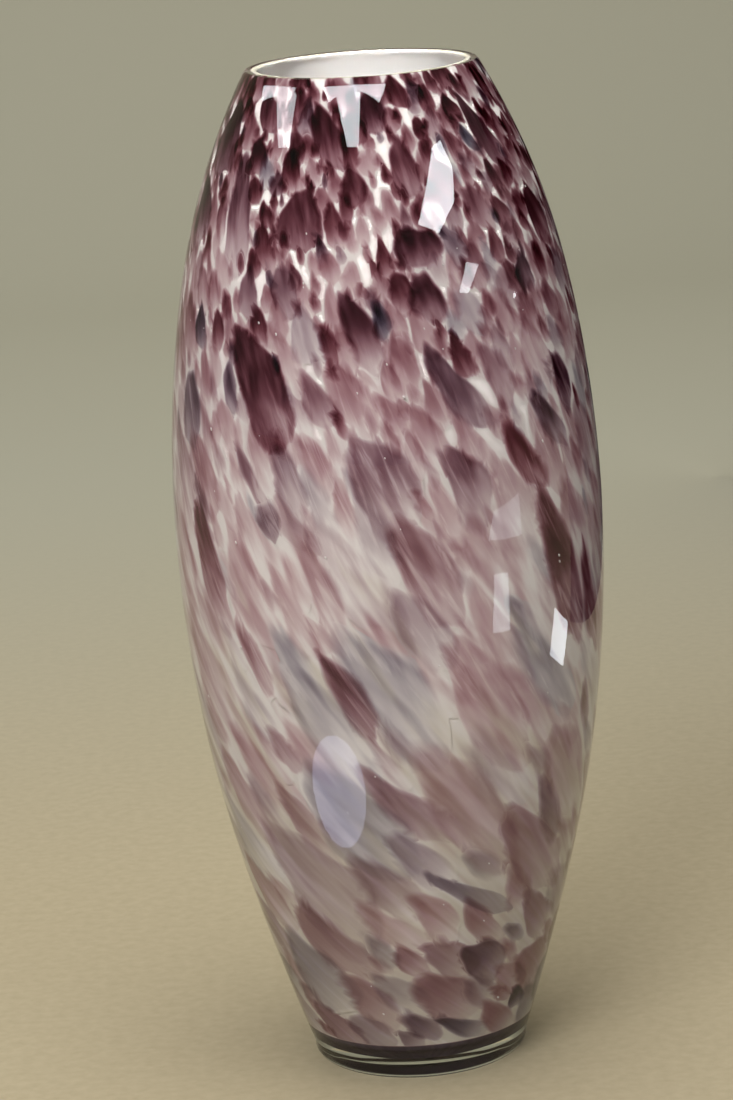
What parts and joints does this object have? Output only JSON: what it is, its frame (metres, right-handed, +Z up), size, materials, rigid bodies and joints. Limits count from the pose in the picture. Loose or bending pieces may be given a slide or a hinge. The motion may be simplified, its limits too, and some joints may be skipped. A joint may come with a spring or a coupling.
{
  "type": "glass vase",
  "caption": "Tall rounded cased-glass vase with a narrow cut mouth: white opal lining, drawn-out purple chips and a clear casing with a clear heel.",
  "frame": {"origin": "centre of the flat resting face, on the axis of the vase", "axes": "+Z up along the vase's axis, -Y towards the side the picture shows, +X to the right of that side"},
  "size_m": [0.1266, 0.1266, 0.3],
  "materials": {
    "opal_glass": "gloss",
    "amethyst_glass": "gloss",
    "clear_glass": "gloss",
    "dark_amethyst_glass": "gloss"
  },
  "bodies": {
    "root": {"opal_lining": "opal_glass", "chip_layer": "amethyst_glass", "clear_casing": "clear_glass"}
  },
  "joints": []
}
